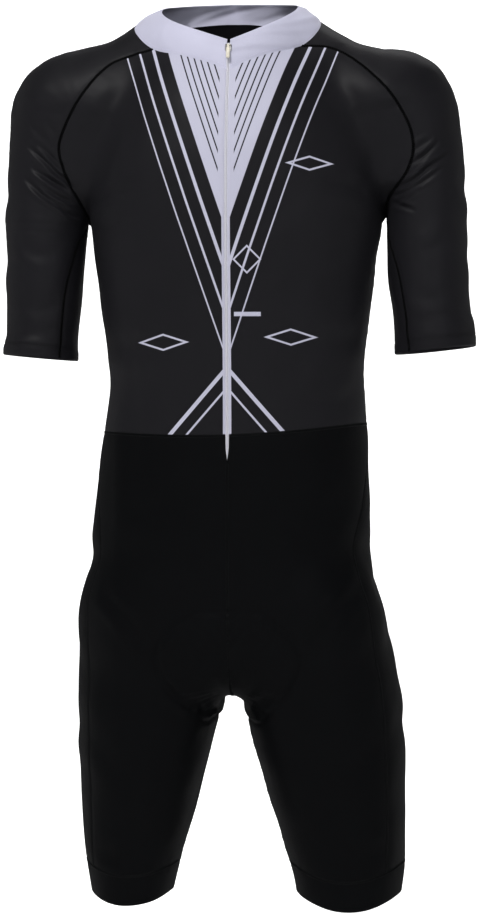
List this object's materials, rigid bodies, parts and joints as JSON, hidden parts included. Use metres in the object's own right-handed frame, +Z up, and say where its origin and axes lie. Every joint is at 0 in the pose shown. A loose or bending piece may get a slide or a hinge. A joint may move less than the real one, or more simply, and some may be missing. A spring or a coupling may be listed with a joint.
{
  "type": "cycling skinsuit",
  "caption": "Hollow zip-front cycling skinsuit as worn: raglan elbow sleeves, stand collar, shorts with gripper leg bands and an inner seat pad, slider and hinged pull tab.",
  "frame": {"origin": "middle of the shoulder line at the sides of the neck seam, where the wearer carries the suit", "axes": "+Z up the body, -Y to the front, +X to the wearer's left"},
  "size_m": [0.5107, 0.2395, 0.9803],
  "materials": {
    "charcoal_knit": "matte",
    "black_knit": "soft sheen",
    "white_knit": "matte",
    "pad_cover": "brushed",
    "white_zip": "matte",
    "slider_metal": "satin",
    "tab_plastic": "matte"
  },
  "bodies": {
    "suit": {"back": "charcoal_knit", "front_left": "charcoal_knit", "front_right": "charcoal_knit", "sleeve_left": "charcoal_knit", "sleeve_right": "charcoal_knit", "collar": "white_knit", "shorts_front_left": "black_knit", "shorts_front_right": "black_knit", "shorts_back_left": "black_knit", "shorts_back_right": "black_knit", "leg_band_left": "black_knit", "leg_band_right": "black_knit", "seat_pad": "pad_cover", "zip_tape": "white_zip", "zip_slider": "slider_metal"},
    "tab": {"pull_tab": "tab_plastic"}
  },
  "joints": [
    {"name": "pull_tab_hinge", "type": "hinge", "parent": "suit", "child": "tab", "pos_m": [0.00004, -0.08334, -0.03112], "axis": [-1, 0, 0], "range_deg": [0, 150]}
  ]
}
